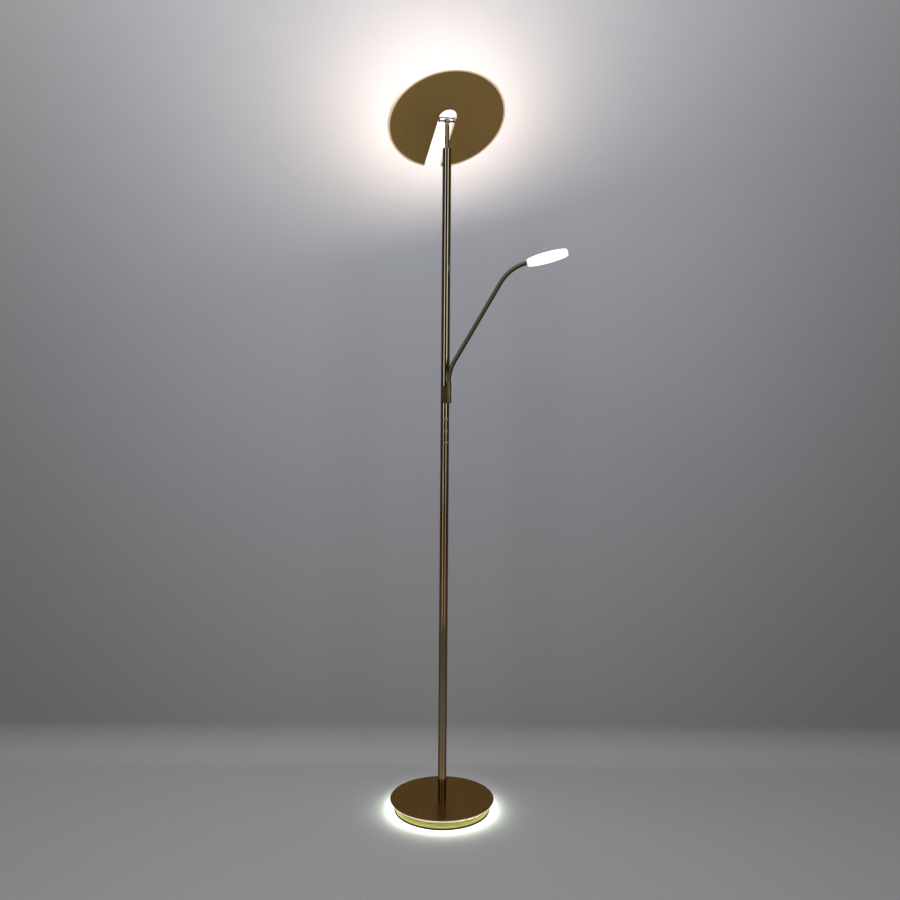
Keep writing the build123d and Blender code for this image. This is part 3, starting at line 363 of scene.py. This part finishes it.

# Head plate: the same brushed and lacquered brass sheet as the base, with the slot cut in along its brushing.
# Its brass is painted lighter than the base plate's, as painted light. Behind it sit the LED board and a tray
# of opal acrylic, which shows as a pale rim round the plate.
head_tilt = radians(40)
light_up = Vector((0, sin(head_tilt), cos(head_tilt)))
tray = nodes["head_diffuser"].data
tray_face = max((vertex.co for vertex in tray.vertices), key=light_up.dot)
tilt_axis = Vector((0, 0, 1.7879))
face_centre = tilt_axis + light_up * light_up.dot(tray_face - tilt_axis)
face_radius = max((vertex.co - face_centre).length for vertex in tray.vertices)
# Painted light: a lighter copy of the base plate's brass, standing for light on the same sheet.
head_brass_painted_lighter = brushed_brass(
    "brass_brushed_head", (0.50, 0.332, 0.117), roughness=0.40, hair_scale=(1500, 6, 6),
    band_scale=(260, 4, 4), rotation=(-head_tilt, 0, 0),
)
head_opal = lit_opal(
    "opal_head", face_colour=(1.0, 0.85, 0.72), strength=38.0, facing=light_up,
    edge_colour=(0.36, 0.25, 0.13), body=(0.60, 0.53, 0.44), round_face=(face_centre, face_radius),
)
phosphor_yellow = (1.0, 0.86, 0.5)
led_phosphor = lit_opal(
    "led_phosphor", face_colour=phosphor_yellow, strength=2.0, facing=light_up, edge_colour=phosphor_yellow
)
finish_nodes(head_brass_painted_lighter, "head_plate")
finish_nodes(head_opal, "head_diffuser")
finish_nodes(led_phosphor, "head_leds", "reading_leds")

# Push buttons: three small domed caps of dark nickel, for the uplight, the reading light and the base ring.
# Each slides in a bezel of brighter nickel that is pressed into the front of the pole.
nickel = dull_finish(
    "nickel", (0.20, 0.175, 0.14), (0.25, 0.22, 0.18), roughness=0.25, grain=1500, metallic=1.0
)
dark_nickel = dull_finish(
    "dark_nickel", (0.08, 0.07, 0.055), (0.11, 0.10, 0.08), roughness=0.3, grain=1500, metallic=1.0
)
finish_nodes(nickel, "button_bezels")
finish_nodes(dark_nickel, "uplight_button", "reading_button", "base_button")

# Arm bracket: cast brass, filed and lacquered, screwed to the pole from inside through a backing plate. Its
# nose is capped underneath and carries the turned ferrule that the arm swings in.
cast_brass = brushed_brass(
    "brass_cast_bracket", (0.13, 0.095, 0.043), roughness=0.28, hair_scale=(40, 40, 900),
    band_scale=(30, 30, 300),
)
finish_nodes(cast_brass, "arm_bracket", "bracket_cap", "arm_ferrule")

# Flexible arm: a sleeve wound from round brass wire over a sprung core, so that it can be bent and stays
# bent. It stands in the ferrule, bends out near its foot, runs straight and bends over to the reading head.
arm_foot = Vector((0, -0.029, 1.12596))
arm_turn = radians(70.8)
arm_out = Vector((sin(arm_turn), -cos(arm_turn), 0))
arm_lead = 0.010
lower_radius = 0.099
lower_angle = radians(30)
straight_run = 0.230
bend_margin = 0.006
upper_radius = 0.107
upper_angle = radians(45.3)
arm_tail = 0.016
wire_pitch = 0.0046
wire_crest = 0.0056
wire_valley = 0.0049
pitch_in_wire_radii = 2.3
steps_per_turn = 10
sleeve_sides = 28
path_resolution = 48


def wound_tree():
    """Nodes that wind a wire sleeve round a path: a tube whose wall rises and falls along a helix."""
    tree = bpy.data.node_groups.new("wound_sleeve", "GeometryNodeTree")
    tree.is_modifier = True
    tree.interface.new_socket("Geometry", in_out="INPUT", socket_type="NodeSocketGeometry")
    sockets = {}
    for label, kind in (
        ("Crest radius", "Float"), ("Valley radius", "Float"), ("Pitch", "Float"), ("Start", "Float"),
        ("Steps per turn", "Int"), ("Sides", "Int"), ("Finish", "Material"),
    ):
        socket = tree.interface.new_socket(label, in_out="INPUT", socket_type=f"NodeSocket{kind}")
        sockets[label] = socket.identifier
    tree.interface.new_socket("Geometry", in_out="OUTPUT", socket_type="NodeSocketGeometry")
    given = tree.nodes.new("NodeGroupInput")
    made = tree.nodes.new("NodeGroupOutput")

    def math(operation, first, second=None):
        node = tree.nodes.new("ShaderNodeMath")
        node.operation = operation
        for socket, value in zip(node.inputs, (first, second)):
            if isinstance(value, (int, float)):
                socket.default_value = value
            elif value is not None:
                tree.links.new(value, socket)
        return node.outputs["Value"]

    step = math("DIVIDE", given.outputs["Pitch"], given.outputs["Steps per turn"])
    resample = tree.nodes.new("GeometryNodeResampleCurve")
    resample.mode = "LENGTH"
    tree.links.new(given.outputs["Geometry"], resample.inputs["Curve"])
    tree.links.new(step, resample.inputs["Length"])
    along = tree.nodes.new("GeometryNodeCaptureAttribute")
    along.capture_items.new("FLOAT", "Along")
    way = tree.nodes.new("GeometryNodeSplineParameter")
    tree.links.new(resample.outputs["Curve"], along.inputs["Geometry"])
    tree.links.new(way.outputs["Length"], along.inputs["Along"])
    circle = tree.nodes.new("GeometryNodeCurvePrimitiveCircle")
    tree.links.new(given.outputs["Valley radius"], circle.inputs["Radius"])
    tree.links.new(given.outputs["Sides"], circle.inputs["Resolution"])
    around = tree.nodes.new("GeometryNodeCaptureAttribute")
    around.capture_items.new("FLOAT", "Around")
    share = tree.nodes.new("GeometryNodeSplineParameter")
    tree.links.new(circle.outputs["Curve"], around.inputs["Geometry"])
    tree.links.new(share.outputs["Factor"], around.inputs["Around"])
    tube = tree.nodes.new("GeometryNodeCurveToMesh")
    tube.inputs["Fill Caps"].default_value = True
    tree.links.new(along.outputs["Geometry"], tube.inputs["Curve"])
    tree.links.new(around.outputs["Geometry"], tube.inputs["Profile Curve"])
    distance = math("ADD", along.outputs["Along"], given.outputs["Start"])
    turns = math("ADD", math("DIVIDE", distance, given.outputs["Pitch"]), around.outputs["Around"])
    across = math("MULTIPLY", math("SUBTRACT", math("FRACT", turns), 0.5), pitch_in_wire_radii)
    round_wire = math("SQRT", math("MAXIMUM", math("SUBTRACT", 1.0, math("MULTIPLY", across, across)), 0.0))
    height = math("SUBTRACT", given.outputs["Crest radius"], given.outputs["Valley radius"])
    rise = math("MULTIPLY", round_wire, height)
    outward = tree.nodes.new("GeometryNodeInputNormal")
    push = tree.nodes.new("ShaderNodeVectorMath")
    push.operation = "SCALE"
    tree.links.new(outward.outputs["Normal"], push.inputs[0])
    tree.links.new(rise, push.inputs["Scale"])
    wind = tree.nodes.new("GeometryNodeSetPosition")
    tree.links.new(tube.outputs["Mesh"], wind.inputs["Geometry"])
    tree.links.new(push.outputs["Vector"], wind.inputs["Offset"])
    soft = tree.nodes.new("GeometryNodeSetShadeSmooth")
    tree.links.new(wind.outputs["Geometry"], soft.inputs["Geometry"])
    real = tree.nodes.new("GeometryNodeRealizeInstances")
    tree.links.new(soft.outputs["Geometry"], real.inputs["Geometry"])
    paint = tree.nodes.new("GeometryNodeSetMaterial")
    tree.links.new(real.outputs["Geometry"], paint.inputs["Geometry"])
    tree.links.new(given.outputs["Finish"], paint.inputs["Material"])
    tree.links.new(paint.outputs["Geometry"], made.inputs["Geometry"])
    return tree, sockets


wound_sleeve, sleeve_sockets = wound_tree()
wire_brass = brushed_brass(
    "brass_wound_wire", (0.060, 0.046, 0.026), roughness=0.30, hair_scale=(900, 900, 900),
    band_scale=(120, 120, 120), coat=0.1, edge=(0.35, 0.28, 0.19),
)


def lean(angle):
    """The arm's direction where it leans out by an angle from upright."""
    return arm_out * sin(angle) + Vector((0, 0, cos(angle)))


def arc_handle(radius, angle):
    """How far a Bezier handle reaches to draw an arc."""
    return 4 / 3 * tan(angle / 4) * radius


def straight_handle(length):
    """How far a Bezier handle reaches along a straight stretch."""
    return length / 3


def wound_arm(name, knots, start):
    """A stretch of the arm along knots: place, direction, and how far the handles reach back and forward."""
    path = bpy.data.curves.new(name + "_path", "CURVE")
    path.dimensions = "3D"
    path.resolution_u = path_resolution
    spline = path.splines.new("BEZIER")
    spline.bezier_points.add(len(knots) - 1)
    for point, (place, direction, back, forward) in zip(spline.bezier_points, knots):
        point.handle_left_type = "FREE"
        point.handle_right_type = "FREE"
        point.co = place
        point.handle_left = place - direction * back
        point.handle_right = place + direction * forward
    guide = bpy.data.objects.new(name + "_path", path)
    bpy.context.scene.collection.objects.link(guide)
    winding = guide.modifiers.new("wind", "NODES")
    winding.node_group = wound_sleeve
    for label, value in (
        ("Crest radius", wire_crest), ("Valley radius", wire_valley), ("Pitch", wire_pitch), ("Start", start),
        ("Steps per turn", steps_per_turn), ("Sides", sleeve_sides), ("Finish", wire_brass),
    ):
        winding[sleeve_sockets[label]] = value
    bpy.context.view_layer.update()
    evaluated = guide.evaluated_get(bpy.context.evaluated_depsgraph_get())
    mesh = bpy.data.meshes.new_from_object(evaluated)
    bpy.data.objects.remove(guide)
    piece = bpy.data.objects.new(name, mesh)
    bpy.context.scene.collection.objects.link(piece)
    return piece


def arc_end(place, radius, first, last):
    """Where an arc ends that starts leaning by one angle and goes on to another."""
    outward = arm_out * radius * (cos(first) - cos(last))
    upward = Vector((0, 0, radius * (sin(last) - sin(first))))
    return place + outward + upward


full_lean = lower_angle + upper_angle
lower_start = arm_foot + lean(0) * arm_lead
lower_end = arc_end(lower_start, lower_radius, 0, lower_angle)
upper_start = lower_end + lean(lower_angle) * straight_run
upper_end = arc_end(upper_start, upper_radius, lower_angle, full_lean)
middle_start = lower_end + lean(lower_angle) * bend_margin
middle_end = upper_start - lean(lower_angle) * bend_margin
lower_length = arm_lead + lower_radius * lower_angle + bend_margin
middle_length = straight_run - 2 * bend_margin
lower_reach = arc_handle(lower_radius, lower_angle)
upper_reach = arc_handle(upper_radius, upper_angle)
lead_reach = straight_handle(arm_lead)
margin_reach = straight_handle(bend_margin)
middle_reach = straight_handle(middle_length)
tail_reach = straight_handle(arm_tail)

arm_lower = wound_arm(
    "flexible_arm_lower",
    [
        (arm_foot, lean(0), lead_reach, lead_reach),
        (lower_start, lean(0), lead_reach, lower_reach),
        (lower_end, lean(lower_angle), lower_reach, margin_reach),
        (middle_start, lean(lower_angle), margin_reach, margin_reach),
    ],
    start=0,
)
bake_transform(arm_lower)
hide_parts("gooseneck_lower")

arm_middle = wound_arm(
    "flexible_arm_middle",
    [
        (middle_start, lean(lower_angle), middle_reach, middle_reach),
        (middle_end, lean(lower_angle), middle_reach, middle_reach),
    ],
    start=lower_length,
)
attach(arm_middle, "arm_middle")
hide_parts("gooseneck_middle")

arm_upper = wound_arm(
    "flexible_arm_upper",
    [
        (middle_end, lean(lower_angle), margin_reach, margin_reach),
        (upper_start, lean(lower_angle), margin_reach, upper_reach),
        (upper_end, lean(full_lean), upper_reach, tail_reach),
        (upper_end + lean(full_lean) * arm_tail, lean(full_lean), tail_reach, tail_reach),
    ],
    start=lower_length + middle_length,
)
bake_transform(arm_upper)
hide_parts("gooseneck_upper")

# Reading head: a round tray of opal acrylic that glows all over, with a brass cover let into its dark side.
# The arm's end goes in through the tray's wall and is clamped inside.
reading_roll = radians(4.8)
arm_side = arm_out.cross(Vector((0, 0, 1)))
light_down = Matrix.Rotation(-reading_roll, 3, lean(full_lean)) @ lean(full_lean).cross(arm_side)
reading_opal = lit_opal(
    "opal_reading", face_colour=(1.0, 0.98, 0.94), strength=1.2, facing=light_down,
    edge_colour=(0.90, 0.88, 0.83),
)
finish_nodes(reading_opal, "reading_diffuser")
finish_nodes(plate_brass, "reading_cover")

# Camera: it stands where the photo's camera stood, with nearly the photo's lens. It looks down a little and
# its picture is shifted by 20 pixels, so that the whole lamp stays in the picture from other sides too.
photo_width = 900
camera_distance = 2.673
camera_height = 1.2314
camera_yaw = radians(-0.287)
camera_pitch = radians(-4.759)
camera_roll = radians(0.469)
focal_pixels = 1041.2
axis_row = 430


def round_pole(turn, distance, height):
    """A place at an angle round the pole and a distance from it."""
    return Matrix.Rotation(turn, 4, "Z") @ Vector((0, -distance, height))


camera_data = bpy.data.cameras.new("camera")
camera = bpy.data.objects.new("camera", camera_data)
bpy.context.scene.collection.objects.link(camera)
camera_data.sensor_width = 36.0
camera_data.lens = focal_pixels / photo_width * camera_data.sensor_width
camera_data.shift_y = axis_row / photo_width - 0.5
camera.location = round_pole(photo_azimuth, camera_distance, camera_height)
heading = Matrix.Rotation(photo_azimuth + camera_yaw, 4, "Z")
nod = Matrix.Rotation(pi / 2 + camera_pitch, 4, "X")
camera.rotation_euler = (heading @ nod @ Matrix.Rotation(camera_roll, 4, "Z")).to_euler()
bpy.context.scene.camera = camera

# Sweep: a sheet of pale grey paper that hangs close behind the lamp and turns forward under it in a small
# cove. It is clear from behind, where the floor goes on, and far away it fades into the surroundings.
backdrop_distance = 0.36
cove_radius = 0.10
cove_steps = 16
floor_reach = 20.0
sweep_top = 5.0
paper_grey = (0.27, 0.268, 0.278, 1)
paper_roughness = 0.9
surroundings = (0.94, 0.96, 1.0, 1)
dimness = 0.06
fade_start = 1.6
fade_end = 6.0
without_height = (1, 1, 0)
profile = [(-floor_reach, 0.0)]
for step in range(cove_steps + 1):
    turn = pi / 2 * step / cove_steps
    depth = backdrop_distance - cove_radius + cove_radius * sin(turn)
    profile.append((depth, cove_radius - cove_radius * cos(turn)))
profile.append((backdrop_distance, sweep_top))
rear_floor = [(backdrop_distance - cove_radius, 0.0), (floor_reach, 0.0)]
points = []
faces = []
facing = Matrix.Rotation(photo_azimuth, 4, "Z")
for stretch in (profile, rear_floor):
    first = len(points)
    for depth, height in stretch:
        points += [facing @ Vector((edge, depth, height)) for edge in (-floor_reach, floor_reach)]
    for row in range(first, len(points) - 2, 2):
        faces.append((row, row + 1, row + 3, row + 2))
sweep_mesh = bpy.data.meshes.new("studio_sweep")
sweep_mesh.from_pydata(points, [], faces)
for face in sweep_mesh.polygons:
    face.use_smooth = True
sweep = bpy.data.objects.new("studio_sweep", sweep_mesh)
bpy.context.scene.collection.objects.link(sweep)
paper, parts, links = new_material("pale_paper")
parts["Principled BSDF"].inputs["Base Color"].default_value = paper_grey
parts["Principled BSDF"].inputs["Roughness"].default_value = paper_roughness
spot = parts.new("ShaderNodeTexCoord")
plan = parts.new("ShaderNodeVectorMath")
plan.operation = "MULTIPLY"
plan.inputs[1].default_value = without_height
away = parts.new("ShaderNodeVectorMath")
away.operation = "LENGTH"
fade = parts.new("ShaderNodeMapRange")
fade.interpolation_type = "SMOOTHSTEP"
fade.inputs["From Min"].default_value = fade_start
fade.inputs["From Max"].default_value = fade_end
links.new(spot.outputs["Object"], plan.inputs[0])
links.new(plan.outputs["Vector"], away.inputs[0])
links.new(away.outputs["Value"], fade.inputs["Value"])
ray = parts.new("ShaderNodeLightPath")
seen = ray.outputs["Is Camera Ray"]
for kind in ("Is Glossy Ray", "Is Transmission Ray"):
    either = parts.new("ShaderNodeMath")
    either.operation = "MAXIMUM"
    links.new(seen, either.inputs[0])
    links.new(ray.outputs[kind], either.inputs[1])
    seen = either.outputs["Value"]
far = parts.new("ShaderNodeMath")
far.operation = "MULTIPLY"
links.new(fade.outputs["Result"], far.inputs[0])
links.new(seen, far.inputs[1])
haze = parts.new("ShaderNodeEmission")
haze.inputs["Color"].default_value = surroundings
haze.inputs["Strength"].default_value = dimness
clear = parts.new("ShaderNodeBsdfTransparent")
sheet = parts.new("ShaderNodeNewGeometry")
surface = parts["Principled BSDF"].outputs["BSDF"]
for share, other in (
    (far.outputs["Value"], haze.outputs["Emission"]),
    (sheet.outputs["Backfacing"], clear.outputs["BSDF"]),
):
    mix = parts.new("ShaderNodeMixShader")
    links.new(share, mix.inputs["Fac"])
    links.new(surface, mix.inputs[1])
    links.new(other, mix.inputs[2])
    surface = mix.outputs["Shader"]
links.new(surface, parts["Material Output"].inputs["Surface"])
sweep_mesh.materials.append(paper)

# Lights: one broad softbox overhead, and at each side a tall strip in three stretches, from lamplight at the
# foot to daylight above. Two cards of light on the floor warm the lower pole, and the surroundings stay dim.
daylight = (0.83, 0.96, 1.16)
evening = (1.06, 0.97, 0.90)
lamplight = (1.25, 0.97, 0.70)
overhead_place = facing @ Vector((-0.25, -1.2, 3.6))
overhead_aim = facing @ Vector((0, -0.3, 0))
strip_angle = radians(36)
strip_distance = 1.4
strip_width = 0.42
strip_beam = radians(110)
strip_stretches = (
    ("foot", 0.12, 0.62, 0.27, lamplight),
    ("waist", 0.62, 0.95, 0.30, evening),
    ("strip", 0.95, 3.0, 3.45, daylight),
)
card_width = 0.16
card_start = 0.16
card_end = 1.10
card_height = 0.002
card_watts = 0.2


def look_at(place, aim):
    """The rotation of a light that looks from a place at a point."""
    return (aim - place).to_track_quat("-Z", "Y").to_euler()


def softbox(name, width, height, place, rotation, watts, colour=(1, 1, 1), beam=pi):
    """A rectangular area lamp that the camera doesn't see."""
    data = bpy.data.lights.new(name, "AREA")
    data.shape = "RECTANGLE"
    data.size = width
    data.size_y = height
    data.energy = watts
    data.color = colour
    data.spread = beam
    lamp = bpy.data.objects.new(name, data)
    lamp.location = place
    lamp.rotation_euler = rotation
    lamp.visible_camera = False
    bpy.context.scene.collection.objects.link(lamp)


softbox(
    "overhead", width=3.0, height=2.2, place=overhead_place, rotation=look_at(overhead_place, overhead_aim),
    watts=116,
)
for name, side in (("left", -1), ("right", 1)):
    turn = photo_azimuth + side * strip_angle
    for stretch, low, high, watts, colour in strip_stretches:
        place = round_pole(turn, strip_distance, (low + high) / 2)
        rotation = look_at(place, Vector((0, 0, place.z)))
        softbox(f"{stretch}_{name}", strip_width, high - low, place, rotation, watts, colour, strip_beam)
    place = round_pole(turn, (card_start + card_end) / 2, card_height)
    softbox(
        f"floor_card_{name}", card_width, card_end - card_start, place, (pi, 0, turn), card_watts, lamplight
    )

world = bpy.data.worlds.new("studio")
world.use_nodes = True
world.node_tree.nodes["Background"].inputs["Color"].default_value = surroundings
world.node_tree.nodes["Background"].inputs["Strength"].default_value = dimness
bpy.context.scene.world = world
bpy.context.scene.view_settings.view_transform = "Standard"
